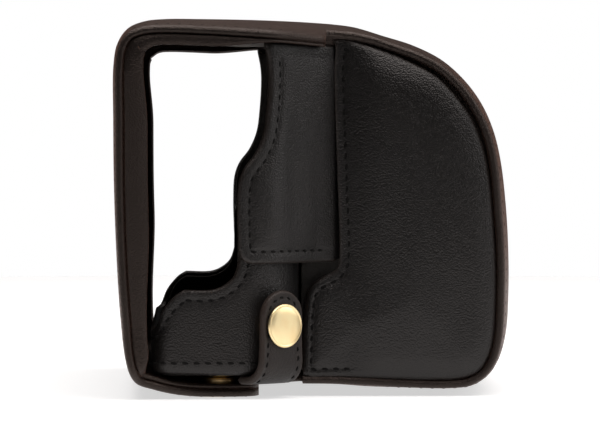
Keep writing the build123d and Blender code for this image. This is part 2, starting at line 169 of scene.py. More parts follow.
def new_piece(name, vertices, faces, material, body, replaces, rim=None):
    """A cleaned piece from millimetre vertices, on its body when that is a name and left in place otherwise,
    with the distance to its rim kept.
    """
    mesh = bpy.data.meshes.new(name)
    mesh.from_pydata((np.asarray(vertices) * MM).tolist(), [], [list(map(int, f)) for f in faces])
    mesh.validate()
    mesh.polygons.foreach_set("use_smooth", [True] * len(mesh.polygons))
    mesh.materials.append(material)
    made = bpy.data.objects.new(name, mesh)
    bpy.context.scene.collection.objects.link(made)
    work = bmesh.new()
    work.from_mesh(mesh)
    bmesh.ops.remove_doubles(work, verts=work.verts, dist=0.00002)
    bmesh.ops.recalc_face_normals(work, faces=work.faces)
    work.to_mesh(mesh)
    work.free()
    mesh.set_sharp_from_angle(angle=math.radians(72))
    if rim is not None:
        tree = kdtree.KDTree(len(vertices))
        for index, spot in enumerate(vertices * MM):
            tree.insert(spot, index)
        tree.balance()
        values = np.array([rim[tree.find(v.co)[1]] for v in mesh.vertices], np.float32)
        mesh.attributes.new("rim", "FLOAT", "POINT").data.foreach_set("value", values)
    if isinstance(body, str):
        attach(made, body)
    else:
        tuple(body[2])
        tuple(body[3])
        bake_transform(made)
    if replaces:
        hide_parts(*replaces)
    return made


def ring_faces(rings, count, base=0):
    """Faces between rings of points, from each ring to the next."""
    return [
        (base + r * count + k, base + r * count + (k + 1) % count,
         base + (r + 1) * count + (k + 1) % count, base + (r + 1) * count + k)
        for r in range(rings - 1) for k in range(count)
    ]


def closed_edges(start, count):
    return [(start + i, start + (i + 1) % count) for i in range(count)]


def rounded(d, radius):
    return np.sqrt(np.clip(1 - (1 - np.clip(d / radius, 0, 1)) ** 2, 0, 1))


class Panel:
    """A leather piece cut to a flat outline and laid on a surface."""

    seam_width = 0.55
    seam_rings = (-0.6, 0.0, 0.6)

    def __init__(self, loop, place, thick, edge=0.9, dome=0.0, holes=(), seams=(), seamless_u=None,
                 step=1.25, dome_reach=14.0, rise=None, seam_where=None):
        """seams are (inset, depth) pairs, and an end at a seamless_u is joined and has no rim."""
        self.loop, self.place, self.thick, self.edge = loop, place, thick, edge
        self.dome, self.seams, self.holes, self.step = dome, seams, holes, step
        self.dome_reach, self.rise, self.seam_where = dome_reach, rise, seam_where
        a, b = loop, np.roll(loop, -1, axis=0)
        if seamless_u is not None:
            ends = (np.abs(a[:, 0] - b[:, 0]) < 1e-6) & np.isin(np.round(a[:, 0], 4), np.round(seamless_u, 4))
            a, b = a[~ends], b[~ends]
        self.segments = [(a, b)] + [(h, np.roll(h, -1, axis=0)) for h in holes]

    def height(self, points, front=True):
        """Height over the surface that the piece is laid on, and distance from its rim."""
        d = distance(points, self.segments)
        bulge = self.thick / 2 * rounded(d, self.edge)
        if not front:
            return self.thick / 2 - bulge, d
        high = self.thick / 2 + bulge
        high = high + self.dome * (1 - np.exp(-((d / self.dome_reach) ** 1.6)))
        sewn = self.seam_where(points) if self.seam_where else 1.0
        for seam, depth in self.seams:
            high = high - sewn * depth * np.exp(-(((d - seam) / self.seam_width) ** 2))
        if self.rise is not None:
            high = high + self.rise(points, d)
        return high, d

    def build(self, name, material, body, replaces=(), sign=1):
        """Fills the outline with triangles and lays a front and a back on the surface."""
        loop = self.loop
        insets = [self.edge * part for part in (0.08, 0.3, 0.62, 1.0)]
        insets += [seam + shift for seam, _ in self.seams for shift in self.seam_rings]
        sets = [loop] + [inset_ring(loop, inset, self.segments) for inset in insets]
        edges = closed_edges(0, len(loop))
        for hole in self.holes:
            edges += closed_edges(sum(len(ring) for ring in sets), len(hole))
            turned = hole[::-1]
            sets += [hole] + [turned + inward(turned) * self.edge * part for part in (0.3, 1.0)]
        low, high = loop.min(0), loop.max(0)
        across = np.arange(low[0], high[0], self.step)
        up = np.arange(low[1], high[1], self.step * 0.87)
        grid = np.array([
            (u + (self.step / 2 if row % 2 else 0), v) for row, v in enumerate(up) for u in across
        ])
        clear = max([self.edge] + [seam + self.seam_rings[-1] for seam, _ in self.seams]) + self.step * 0.45
        grid = grid[self.covers(grid)]
        grid = grid[distance(grid, self.segments) > min(clear, 4.0)]
        flat, _, faces, _, _, _ = geometry.delaunay_2d_cdt(
            [Vector(p) for p in np.vstack(sets + [grid])], edges, [], 0, 1e-5
        )
        flat = np.array([(p.x, p.y) for p in flat])
        faces = np.array([f for f in faces if len(f) == 3])
        faces = faces[self.covers(flat[faces].mean(axis=1))]
        used = np.unique(faces)
        remap = np.full(len(flat), -1)
        remap[used] = np.arange(len(used))
        flat, faces = flat[used], remap[faces]
        front, d = self.height(flat)
        back, _ = self.height(flat, front=False)
        vertices = np.vstack([self.place(flat[:, 0], flat[:, 1], h) for h in (front, back)]) * (sign, 1, 1)
        faces = np.vstack([faces, faces[:, ::-1] + len(flat)])
        return new_piece(name, vertices, faces, material, body, replaces, np.r_[d, d])

    def covers(self, points):
        """Which points lie inside the outline and outside its holes."""
        keep = inside(points, self.loop)
        for hole in self.holes:
            keep &= ~inside(points, hole)
        return keep

    def path(self, inset, keep, pitch=2.7):
        """Stitch places along the outline at an inset, where keep(u, v) says so."""
        ring = inset_ring(resample(np.vstack([self.loop, self.loop[:1]]), 0.4)[:-1], inset, self.segments)
        ring = ring[keep(ring[:, 0], ring[:, 1])]
        gaps = np.linalg.norm(np.diff(ring, axis=0), axis=1)
        break_gap = 1.5
        if np.linalg.norm(ring[0] - ring[-1]) < break_gap and gaps.max() > break_gap:
            turn = int(np.argmax(gaps)) + 1
            ring = np.vstack([ring[turn:], ring[:turn]])
            gaps = np.linalg.norm(np.diff(ring, axis=0), axis=1)
        places = []
        for part in np.split(ring, np.where(gaps > break_gap)[0] + 1):
            if len(part) < 6:
                continue
            spots = resample(part, pitch / 2)
            for i in range(1, len(spots) - 1, 2):
                places.append((spots[i], spots[i + 1] - spots[i - 1]))
        return places

    def stitches(self, places, sign=1, lift=0.06):
        """Stitch frames in space: centre, direction along the seam, and normal."""
        at = np.array([p for p, _ in places])
        ahead = at + 0.3 * np.array([w / np.linalg.norm(w) for _, w in places])
        high = self.height(at)[0] + lift
        spots = [self.place(at[:, 0], at[:, 1], high), self.place(ahead[:, 0], ahead[:, 1], high),
                 self.place(at[:, 0], at[:, 1], high + 0.5)]
        return [(c, a - c, n - c) for c, a, n in zip(*(spot * (sign, 1, 1) for spot in spots))]


def thread(name, frames, body, length=1.75, radius=0.27):
    """Separate stitches as one mesh: each dips into the leather at both ends."""
    vertices, faces = [], []
    along = (-0.5, -0.42, -0.22, 0.0, 0.22, 0.42, 0.5)
    size = (0.25, 0.75, 1.0, 1.05, 1.0, 0.75, 0.25)
    dip = (-0.42, -0.16, 0.02, 0.07, 0.02, -0.16, -0.42)
    ring = np.linspace(0, 2 * math.pi, 8, endpoint=False)
    rows, n = len(along), len(ring)
    for centre, way, normal in frames:
        way = way / np.linalg.norm(way)
        normal = normal - way * (normal @ way)
        normal /= np.linalg.norm(normal)
        side = np.cross(way, normal)
        way = way + side * 0.10
        base = len(vertices)
        for a, s, z in zip(along, size, dip):
            middle = centre + way * a * length + normal * z
            for angle in ring:
                vertices.append(
                    middle + (side * math.cos(angle) * 1.1 + normal * math.sin(angle) * 0.8) * radius * s
                )
        faces += ring_faces(rows, n, base)
        faces.append([base + k for k in range(n)][::-1])
        faces.append([base + (rows - 1) * n + k for k in range(n)])
    return new_piece(name, vertices, faces, thread_black, body, ())


def lathe(name, profile, place, material, body, replaces=(), steps=64, groove=None):
    """A turned piece: profile is (radius, height) pairs, place(x, y, h) puts it in space."""
    angles = np.linspace(0, 2 * math.pi, steps, endpoint=False)
    rings = []
    for r, h in profile:
        radius = r + groove(angles, h) if groove and r > 0 else r
        rings.append(place(radius * np.cos(angles), radius * np.sin(angles), np.full(steps, h)))
    faces = ring_faces(len(profile), steps)
    return new_piece(name, np.vstack(rings), faces, material, body, replaces)

# -------------------- materials


def rgba(*color):
    return (*color, 1.0) if len(color) == 3 else (*color * 3, 1.0)


class Kit:
    """A node tree written as nested calls.

    Values go to a new node's inputs, in order or by name with _ for a space. A socket is linked, and
    a name that is no input is one of the node's own settings.
    """

    def __init__(self, owner):
        owner.use_nodes = True
        self.owner, self.tree = owner, owner.node_tree
        self.tree.nodes.clear()

    def node(self, kind, *values, **settings):
        made = self.tree.nodes.new("ShaderNode" + kind)
        for key, value in (*enumerate(values), *settings.items()):
            name = key if isinstance(key, int) else key.replace("_", " ")
            if isinstance(key, str) and name not in made.inputs:
                setattr(made, key, value)
            elif isinstance(value, bpy.types.NodeSocket):
                self.tree.links.new(value, made.inputs[name])
            else:
                made.inputs[name].default_value = value
        return made

    def get(self, output, kind, *values, **settings):
        return self.node(kind, *values, **settings).outputs[output]

    def place(self):
        return self.get("Object", "TexCoord")

    def noise(self, place, scale, detail, output="Fac", **settings):
        return self.get(output, "TexNoise", Vector=place, Scale=scale, Detail=detail, **settings)

    def mix(self, blend, factor, first, second):
        return self.get("Color", "MixRGB", blend_type=blend, Fac=factor, Color1=first, Color2=second)

    def bump(self, height, strength, distance, **settings):
        return self.get("Normal", "Bump", Height=height, Strength=strength, Distance=distance, **settings)

    def ramp(self, source, *stops):
        node = self.node("ValToRGB", Fac=source)
        elements = node.color_ramp.elements
        elements[0].position, elements[0].color = stops[0]
        elements[1].position, elements[1].color = stops[-1]
        for position, color in stops[1:-1]:
            elements.new(position).color = color
        return node.outputs["Color"]

    def surface(self, **settings):
        """Ends a material with its shader, and gives the material."""
        self.node("OutputMaterial", Surface=self.get("BSDF", "BsdfPrincipled", **settings))
        return self.owner


def leather(name, dark, light, rim, rough, grain=0.9, crease=0.35, sheen=0.0, sheen_tint=(1, 1, 1),
            specular=0.5, gleam=(1, 0.95, 0.93), reach=1.0, rubs=0.6):
    """Pebbled leather: cells of grain, faint creases, uneven dye, rubbed patches, and a rim colour: worn edges,
    or painted shade.
    """
    kit = Kit(bpy.data.materials.new(name))
    place = kit.place()
    warped = kit.mix("ADD", 0.0005, place, kit.noise(place, 700.0, 2.0, "Color"))
    cells = kit.get("Distance", "TexVoronoi", feature="SMOOTH_F1", Vector=warped, Scale=2300.0, Smoothness=0.35,
                    Randomness=0.9)
    pores = kit.noise(place, 2600.0, 3.0, Roughness=0.6)
    folds = kit.noise(place, 42.0, 2.0, Roughness=0.45, Distortion=0.3)
    dye = kit.noise(place, 32.0, 4.0, Roughness=0.6)
    rubbed = kit.noise(place, 13.0, 7.0, Roughness=0.68, Distortion=0.8)

    creased = kit.bump(folds, crease, 0.0009)
    pebbled = kit.bump(cells, grain, 0.00013, invert=True, Normal=creased)
    pored = kit.bump(pores, grain * 0.6, 0.00008, Normal=pebbled)

    dyed = kit.ramp(dye, (0.35, rgba(*dark)), (0.68, rgba(*light)))
    grainy = kit.ramp(cells, (0.0, rgba(1)), (0.75, rgba(0.62, 0.6, 0.6)))
    far = kit.get("Fac", "Attribute", attribute_name="rim")
    near = kit.get("Value", "Math", far, reach, operation="DIVIDE")
    # Near a piece's rim the colour blends toward the rim colour: real edge wear where it is lighter, painted
    # shade where it is darker, as on the band.
    edge = kit.mix("MULTIPLY", 0.55, kit.ramp(near, (0.0, rgba(1)), (0.45, rgba(0.6)), (1.0, rgba(0))), dye)
    rim_wear_and_shade = kit.mix("MIX", edge, kit.mix("MULTIPLY", 0.8, dyed, grainy), rgba(*rim))
    rub = kit.ramp(rubbed, (0.5, rgba(1)), (0.72, rgba(1.0 + rubs, 1.0 + rubs * 0.8, 1.0 + rubs * 0.7)))

    patchy = kit.get("Value", "Math", dye, rubbed, operation="ADD")
    gloss = kit.get("Result", "MapRange", Value=patchy, From_Min=0.75, From_Max=1.25, To_Min=rough[1],
                    To_Max=rough[0])
    return kit.surface(Base_Color=kit.mix("MULTIPLY", 1.0, rim_wear_and_shade, rub), Roughness=gloss, Normal=pored,
                       Specular_IOR_Level=specular, Specular_Tint=rgba(*gleam), Sheen_Weight=sheen,
                       Sheen_Roughness=0.45, Sheen_Tint=rgba(*sheen_tint))


def suede(name, dark, light, scale=900.0, sheen=0.35):
    """Napped suede: fibrous mottling and a soft sheen."""
    kit = Kit(bpy.data.materials.new(name))
    place = kit.place()
    nap = kit.noise(place, scale, 6.0, Roughness=0.75)
    brushed = kit.noise(place, 60.0, 3.0, Distortion=1.4)
    color = kit.ramp(brushed, (0.35, rgba(*dark)), (0.7, rgba(*light)))
    fibre = kit.ramp(nap, (0.3, rgba(0.6)), (0.7, rgba(1)))
    return kit.surface(Base_Color=kit.mix("MULTIPLY", 1.0, color, fibre), Roughness=0.95,
                       Normal=kit.bump(nap, 0.7, 0.0003), Specular_IOR_Level=0.15, Sheen_Weight=sheen,
                       Sheen_Roughness=0.6, Sheen_Tint=rgba(0.75, 0.68, 0.62))


def metal(name, light, dark, rough, scratch=0.25, stretch=(1, 1, 1)):
    """Satin metal with fine scratches and a slightly uneven polish."""
    kit = Kit(bpy.data.materials.new(name))
    place = kit.place()
    fine = kit.noise(kit.get("Vector", "Mapping", Vector=place, Scale=stretch), 2200.0, 4.0, Roughness=0.7)
    tarnish = kit.noise(place, 260.0, 4.0)
    gloss = kit.get("Result", "MapRange", Value=fine, To_Min=rough[0], To_Max=rough[1])
    return kit.surface(Base_Color=kit.ramp(tarnish, (0.35, rgba(*dark)), (0.6, rgba(*light))), Metallic=1.0,
                       Roughness=gloss, Normal=kit.bump(fine, scratch, 0.00003))


black = leather("leather_black", (0.0052, 0.0048, 0.0047), (0.0104, 0.0094, 0.009), (0.02, 0.0145, 0.0118),
                rough=(0.33, 0.5), specular=0.36)
panel_black = leather("leather_panel", (0.0048, 0.0044, 0.0043), (0.0098, 0.0088, 0.0084),
                      (0.018, 0.013, 0.011), rough=(0.31, 0.47), grain=0.85, specular=0.4)
# The band is the same black leather: its base colour is painted lighter and warmer as a stand-in for its warm
# highlight, and its darker rim colour is painted shade on the hem, groove and lip.
band_leather_painted_warm = leather("leather_band", (0.0066, 0.0057, 0.0054), (0.0142, 0.0116, 0.0105), (0.0058, 0.0053, 0.0052),
                rough=(0.36, 0.54), crease=0.5, sheen=0.12, sheen_tint=(1.0, 0.52, 0.37), specular=0.35,
                gleam=(1.0, 0.78, 0.68), reach=3.2, rubs=1.6)
tab_brown = leather("leather_tab", (0.0075, 0.006, 0.0054), (0.0135, 0.0103, 0.009), (0.028, 0.02, 0.0165),
                    rough=(0.46, 0.6), grain=0.7, crease=0.25, specular=0.3)
lining = suede("suede_charcoal", (0.012, 0.0112, 0.0105), (0.030, 0.027, 0.025))
tan_board = suede("raw_edge_tan", (0.10, 0.078, 0.055), (0.20, 0.165, 0.12), scale=1500.0)
thread_black = suede("thread_black", (0.003, 0.0027, 0.0026), (0.007, 0.0062, 0.006), scale=3500.0, sheen=0.03)
brass = metal("brass_satin", (1.0, 0.82, 0.48), (0.96, 0.74, 0.40), (0.30, 0.44))
brass_dark = metal("brass_aged", (0.72, 0.50, 0.24), (0.46, 0.30, 0.14), (0.30, 0.48), scratch=0.5)
steel = metal("steel_satin", (0.62, 0.61, 0.58), (0.45, 0.44, 0.42), (0.24, 0.42), stretch=(1, 1, 6))

# -------------------- bands swept along the side outline

# Rows are the side outline at the edge (y, z) and in the middle of the width (y, z).
cover_rows = [
    (14.2, 0.03, 14.2, 0.05), (22.0, 0.03, 22.0, 0.03), (30.0, 0.3, 30.0, 0.2), (35.5, 1.05, 36.0, 0.7),
    (40.0, 2.2, 40.6, 1.60), (43.6, 3.4, 44.2, 3.0), (45.3, 5.5, 46.3, 5.7), (46.5, 9.5, 47.5, 9.6),
    (47.4, 19.0, 48.7, 19.4), (48.4, 34.0, 49.6, 34.6), (48.9, 50.0, 50.2, 50.8), (49.0, 66.0, 50.4, 67.4),
    (49.0, 80.4, 50.3, 81.2), (48.3, 85.0, 49.3, 86.6), (46.2, 88.4, 46.6, 90.5), (42.2, 90.0, 42.4, 92.3),
    (37.5, 90.35, 37.4, 92.85), (28.5, 90.1, 28.2, 92.87), (16.5, 89.4, 16.2, 92.7), (4.3, 88.5, 3.8, 92.25),
    (-0.5, 88.05, -0.7, 92.0), (-2.2, 87.9, -2.3, 91.9),
]
nose_rows = [
    (-2.2, 87.9, -2.3, 91.9), (-4.7, 87.7, -4.8, 91.7), (-9.9, 87.2, -10.6, 90.9), (-16.8, 86.3, -17.9, 88.64),
    (-23.7, 84.4, -25.2, 86.3), (-30.7, 80.8, -32.5, 82.6), (-36.2, 75.6, -38.4, 77.3),
    (-40.1, 69.9, -42.6, 71.5), (-42.8, 63.5, -45.5, 64.9), (-44.3, 56.5, -47.4, 57.1),
    (-45.2, 46.3, -48.75, 46.39), (-45.9, 36.0, -49.35, 36.0), (-46.0, 25.0, -49.45, 25.0),
    (-45.4, 14.0, -48.75, 14.2), (-43.9, 8.2, -46.9, 7.8), (-41.5, 4.7, -44.2, 3.6), (-37.8, 2.4, -40.4, 1.0),
    (-33.0, 1.75, -34.4, 0.25), (-22.0, 1.95, -22.0, 0.3), (-12.0, 2.5, -12.0, 0.4), (-4.0, 2.8, -4.0, 1.5),
    (3.4, 2.8, 3.4, 3.1),
]


def outward(line):
    tangent = np.gradient(line, axis=0)
    tangent /= np.linalg.norm(tangent, axis=1)[:, None]
    return np.stack([tangent[:, 1], -tangent[:, 0]], axis=1)


class Band:
    """The outline rows as stations, each with its width."""

    def __init__(self, rows, width, step=1.0):
        self.line = smooth(rows, step * 1.42)
        self.edge, self.middle = self.line[:, :2], self.line[:, 2:]
        self.edge_normal, self.middle_normal = outward(self.edge), outward(self.middle)
        self.width = np.array([width(*row) for row in self.line])

    def point(self, index, x, depth):
        """Points at one or several stations; x is signed, depth goes in from the outer surface."""
        half = self.width[index]
        crown = np.clip(1 - np.minimum(np.abs(x) / half, 1) ** 2.3, 0, 1)[..., None]
        spot = self.edge[index] + crown * (self.middle[index] - self.edge[index])
        normal = self.edge_normal[index] + crown * (self.middle_normal[index] - self.edge_normal[index])
        normal = normal / np.linalg.norm(normal, axis=-1)[..., None]
        flat = spot - normal * np.asarray(depth)[..., None]
        return np.stack([np.broadcast_to(x, flat.shape[:-1]), flat[..., 0], flat[..., 1]], axis=-1)


def cover_width(y, z, my, mz):
    """Half width of the cover: the flap's taper, the back's full width, and the slant to the nose."""
    full, slant = 70.0, 1.051
    if z > 60:
        soft, slant_start = 1.6, 10.0
        return full - slant * soft * math.log1p(math.exp((slant_start - y) / soft))
    flap_end, corner_radius = 14.2, 4.0
    taper = 59.0 + 7.2 * (y - flap_end) / 23.8
    if y < flap_end + corner_radius:
        taper -= corner_radius - math.sqrt(max(corner_radius**2 - (flap_end + corner_radius - y) ** 2, 0.0))
    if y > 36:
        taper = min(taper, 66.2)
    return taper + (full - taper) * ease(z, 1.2, 6.7)


def sweep(name, band, section, body, replaces, material=None, across=37):
    """A closed section run along a band: section(y, z) gives the left edge's outer and inner lines."""
    reach = math.pi / 2 * 0.98
    fractions = np.sin(np.linspace(-1, 1, across) * reach) / math.sin(reach)
    rings, rims = [], []
    for i, half in enumerate(band.width):
        loop = []
        for line in section(*band.edge[i]):
            line = np.asarray(line, float)
            left = np.stack([-(half + line[:-1, 0]), line[:-1, 1]], axis=1)
            crown = np.stack([fractions * (half + line[-1, 0]), np.full(across, line[-1, 1])], axis=1)
            loop.append(np.vstack([left, crown, left[::-1] * (-1, 1)]))
        loop = np.vstack([loop[0], loop[1][::-1]])
        rings.append(band.point(i, loop[:, 0], loop[:, 1]))
        rims.append(np.clip(half - np.abs(loop[:, 0]), 0, 9) + 0.4)
    count = len(rings[0])
    faces = ring_faces(len(rings), count)
    for base in (0, (len(rings) - 1) * count):
        for k in range(count // 2 - 1):
            faces.append((base + k, base + k + 1, base + count - 2 - k, base + count - 1 - k))
    new_piece(name, np.vstack(rings), faces, material or band_leather_painted_warm, body, replaces, np.hstack(rims))


def hem_section(y, z):
    """The cover's edge: a rolled hem, a groove, and a lip that turns in round the camera's end."""
    thick = 1.6
    if z < 12:
        rise = ease(z, 1.6, 11.0)
        lip, thick = 3.2 + rise * 2.6, 3.0 - 1.4 * rise
    elif z < 84:
        lip = 5.8 + 2.1 * ease(z, 12.0, 42.0) - 1.1 * ease(z, 66.0, 84.0)
    elif y > 36:
        lip = 4.9 + 1.9 * ease(y, 38.0, 47.0)
    else:
        lip = 4.9 - 2.0 * ease(-y, -26.0, -8.0)
    face = max(lip - 2.9, 0.0)
    slope = 1.0 * ease(z, 10.0, 24.0) * ease(84.0 - z, 0.0, 8.0)
    # Each point is its place across, how much of the slope it takes, and its depth.
    outer = [
        (-1.95, 1, lip - 0.35), (-1.65, 1, lip - 0.08), (-1.3, 1, lip), (-0.9, 1, lip - 0.1),
        (-0.6, 1, lip - 0.4 * min(lip / 4, 1)), (-0.45, 0.5, 2.6 + face * 0.45), (-0.45, 0, 2.42),
        (-1.15, 0, 2.12), (-0.72, 0, 1.86), (-0.15, 0, 1.58), (0.0, 0, 1.15), (-0.12, 0, 0.7),
        (-0.5, 0, 0.28), (-1.0, 0, 0.08), (-1.8, 0, 0.0),
    ]
    inner = [
        (-2.1, 1, lip - 0.45), (-2.1, 1, lip - 0.8), (-2.1, 1, lip * 0.9), (-2.08, 1, lip * 0.85),
        (-2.05, 0.8, lip * 0.8), (-2.05, 0.6, lip * 0.72), (-2.05, 0.4, lip * 0.66), (-2.06, 0.2, lip * 0.6),
        (-2.08, 0, lip * 0.55), (-2.12, 0, max(lip * 0.5, thick + 0.5)),
        (-2.2, 0, max(lip * 0.45, thick + 0.35)), (-2.4, 0, thick + 0.2), (-2.8, 0, thick + 0.08),
        (-3.4, 0, thick + 0.02), (-4.2, 0, thick),
    ]
    if lip < 3.6:
        inner = [(x, share, min(d, lip - 0.1) if d > thick else d) for x, share, d in inner]
    return [[(x - slope * share, d) for x, share, d in line] for line in (outer, inner)]


cover_band = Band(cover_rows, cover_width)
sweep(
    "cover_back_and_top", cover_band, hem_section,
    ("half_case", "cover_rear", (0, 0.0405, 0.0015), (0, 0.0475, 0.0105)),
    ("rear_flap", "cover_leather", "left_lip", "right_lip"),
)


def nose_width(y, z, my, mz):
    return 54.0 + (0.5 * max(y + 5.0, 0.0) if z > 60 else 0.0)


def piping_section(y, z):
    """The nose band's edge: a rolled seam, then the flange that the side panel is sewn to."""
    lift = 1.6 * ease(y, -22.0, -8.0) if z > 60 else 0.0
    outer = [
        (-2.6, 4.2), (-2.45, 3.4), (-2.4, 2.8), (-2.3, 2.5), (-1.7, 2.1 - lift * 0.6), (-0.4, 1.8 - lift),
        (0.0, 1.1 - lift), (-0.15, 0.5 - lift), (-0.6, 0.15 - lift), (-1.2, 0.02 - lift * 0.85),
        (-2.2, 0.0 - lift * 0.35), (-4.5, 0.0),
    ]
    inner = [
        (-3.0, 4.2), (-3.05, 3.6), (-3.1, 3.0), (-3.15, 2.7), (-3.2, 2.5), (-3.3, 2.3), (-3.5, 2.1),
        (-3.8, 1.95), (-4.2, 1.85), (-4.8, 1.8), (-5.6, 1.8), (-7.0, 1.8),
    ]
    return outer, inner


nose_band = Band(nose_rows, nose_width)
sweep(
    "nose_band_leather", nose_band, piping_section,
    ("cover_rear", "nose", (0, -0.0047, 0.0918), (0, -0.0092, 0.0907)),
    ("nose_band", "left_nose_piping", "right_nose_piping"),
)


def liner_section(start, end, margin, near_wing):
    """A lining between two depths, held off the band's edge and further off it above the wing."""

    def at(y, z):
        side = margin + near_wing * (1 - ease(y, 12.0, 20.0)) * ease(z, 60.0, 70.0)
        return [
            [(-side, face + bevel), (-side - 0.3, face), (-side - 1.5, face)]
            for face, bevel in ((start, 0.2), (end, -0.2))
        ]

    return at


inner_rows = [row for row in cover_rows if row[1] > 9.0 and row[0] > -4.0]
sweep("cover_back_lining", Band(inner_rows, cover_width), liner_section(1.7, 2.9, 2.6, 3.0),
      "cover_rear", ("cover_board", "cover_lining"), lining)
sweep("nose_band_lining", Band(nose_rows[1:-1], nose_width), liner_section(1.85, 2.4, 3.4, 0.0),
      "nose", ("nose_lining",), lining)

# -------------------- nose side panels

panel_back = mm_box("left_nose_panel")[1][0]
panel_thick = panel_back - mm_box("left_nose_panel")[0][0]
panel_loop = outline(
    [(-3.0, 87.2), (-6.2, 87.1), (-9.7, 86.5), (-16.6, 84.4), (-23.4, 81.5), (-29.5, 78.1), (-34.6, 72.8),
     (-38.3, 67.3), (-41.0, 60.2), (-42.4, 53.2), (-43.2, 45.2), (-43.9, 34.5), (-44.0, 23.6), (-43.4, 13.6),
     (-42.0, 8.9), (-39.9, 5.7), (-36.4, 4.1), (-32.9, 3.6)],
    [(-32.9, 3.6), (-25.5, 3.5), (-15.6, 3.8), (-5.8, 4.2), (2.4, 4.05)],
    [(2.4, 4.05), (3.3, 4.9), (3.5, 13.4), (3.2, 20.4), (2.5, 25.0), (1.1, 27.3), (-1.1, 28.9), (-3.8, 30.2),
     (-5.1, 31.6), (-5.5, 34.0), (-5.0, 53.2), (-4.35, 72.3), (-4.2, 80.0), (-4.5, 84.6), (-4.2, 86.5),
     (-3.0, 87.2)],
)
valley_depth = min(1.3, panel_thick * 0.45)


def beside_nose(inset):
    """Lays a piece in a plane beside the nose, inset from the side panel's back."""
    return lambda u, v, h: np.stack([panel_back + inset - h, u, v], axis=1)


def nose_waves(points, d):
    """Broad soft waves, a pillowed front edge, and a valley in front of the rear seam."""
    y, z = points[:, 0], points[:, 1]
    soft = np.clip((d - 2) / 8, 0, 1)
    broad = 0.22 * np.sin(z / 9.0 + 0.5 * np.sin(y / 7.0)) * np.cos(y / 11.0)
    wave = soft * (broad + 0.12 * np.sin(y / 4.1 + z / 13.0))
    valley = np.exp(-((np.clip(-4.6 - y, 0, None) / 3.8) ** 2)) * np.clip((z - 26.0) / 8.0, 0, 1)
    pillow = 1.3 * (1 - np.exp(-((d / 3.4) ** 2))) * np.clip((-9.0 - y) / 6.0, 0, 1)
    return wave + pillow - valley_depth * valley * np.clip(d / 0.9, 0, 1)


def nose_sewn(points):
    return np.clip((points[:, 0] + 9.0) / 3.0, 0, 1)


def rear_edge(u, v):
    return (u > -9.0) & (v > 5.6) & (v < 85.5)


side_seam_inset = 2.3
nose_side = Panel(panel_loop, beside_nose(0.0), panel_thick, edge=2.0, dome=2.2, dome_reach=15.0, step=1.35,
                  seams=((side_seam_inset, 0.3),), seam_where=nose_sewn, rise=nose_waves)
side_seam = nose_side.path(side_seam_inset, rear_edge)
for side, sign in SIDES:
    made = nose_side.build(f"{side}_nose_side", panel_black, "nose", (f"{side}_nose_panel",), sign=sign)
    thread(f"{side}_nose_side_stitches", nose_side.stitches(side_seam, sign), "nose")

lining_loop = outline(
    [(-8.0, 84.3), (-16.6, 82.0), (-23.0, 79.2), (-28.4, 75.7), (-32.9, 70.3), (-36.1, 65.2), (-38.9, 58.6),
     (-41.0, 45.2), (-41.8, 34.5), (-41.9, 23.6), (-41.4, 13.2), (-39.6, 7.4), (-36.0, 5.6), (-30.0, 5.4)],
    *legs([(-30.0, 5.4), (3.7, 6.2), (3.7, 33.2), (-7.0, 33.4), (-8.0, 84.3)]), step=2.0,
)
nose_liner = Panel(lining_loop, beside_nose(0.75), 0.6, edge=0.5, step=2.4)
for side, sign in SIDES:
    nose_liner.build(f"{side}_nose_lining_suede", lining, "nose", (f"{side}_nose_side_lining",),
                     sign)
# -------------------- wings

corner_x, corner_y = -49.0, 22.2
wing_radius = 20.7
wing_thick = 2.2
slant_x, slant_y = 0.7244, 0.6893
rear_angle = math.radians(4.0)
arc_run = wing_radius * (math.atan2(slant_x, slant_y) - rear_angle)
tangent_y = corner_y - wing_radius * math.sin(math.atan2(slant_x, slant_y))
slant_run = (tangent_y + 3.9) / slant_y
wing_turn = arc_run + slant_run


def wing_u(y):
    """Distance along the wing's face of a point at this depth."""
    if y > tangent_y:
        return wing_radius * (math.asin(min((corner_y - y) / wing_radius, 1.0)) - rear_angle)
    return arc_run + (tangent_y - y) / slant_y


def on_wing(inset):
    """Round the camera's corner, along the slant, then tucked behind the nose's side."""

    def place(u, v, h):
        angle = rear_angle + np.clip(u, None, arc_run) / wing_radius
        radius = wing_radius - wing_thick + (h - inset)
        past = np.clip(u - arc_run, 0, slant_run)
        tuck = np.clip(u - arc_run - slant_run, 0, None)
        tucked = np.clip(tuck / 2.0, 0, 1)
        x = corner_x - radius * np.cos(angle) + past * slant_x + tuck * 0.25 * (1 - tucked) + 0.35 * tucked
        y = corner_y - radius * np.sin(angle) - past * slant_y - tuck
        return np.stack([x, y, v], axis=1)

    return place


rear_side = [(12.6, 86.5), (11.4, 79.8), (11.9, 69.2), (12.75, 63.9), (14.9, 59.3), (17.7, 55.8),
             (19.1, 52.25), (19.5, 45.75), (19.3, 37.6)]
low_corner = [(19.3, 37.6), (19.05, 35.4), (18.2, 33.7), (16.6, 32.75), (14.0, 32.6)]
wing_end = wing_turn + 3.6
wing_loop = outline(
    [(wing_u(y), z) for y, z in rear_side],
    [(wing_u(y), z) for y, z in low_corner],
    *legs([(wing_u(14.0), 32.6), (wing_end, 32.6), (wing_end, 85.6)]),
    [(wing_end, 85.6), (wing_u(4.0), 86.1), (wing_u(12.6), 86.5)],
)


def wing_waves(points, d):
    """Soft waves, and a fill where the wing meets the nose."""
    u, v = points[:, 0], points[:, 1]
    soft = np.clip((d - 2) / 7, 0, 1)
    fill = np.clip((u - wing_turn + 6.0) / 5.0, 0, 1) * np.clip((wing_turn + 1.5 - u) / 1.5, 0, 1)
    return soft * (0.28 * np.sin(v / 7.5 + u / 6.0) + 0.26 * np.sin(u / 2.6 - v / 26.0)) + fill


def wing_sewn(points):
    return np.clip((wing_turn - points[:, 0]) / 3.0, 0, 1) * np.clip((83.5 - points[:, 1]) / 2.5, 0, 1)


def wing_edge(u, v):
    return (u < wing_turn - 1.6) & (v < 82.4)


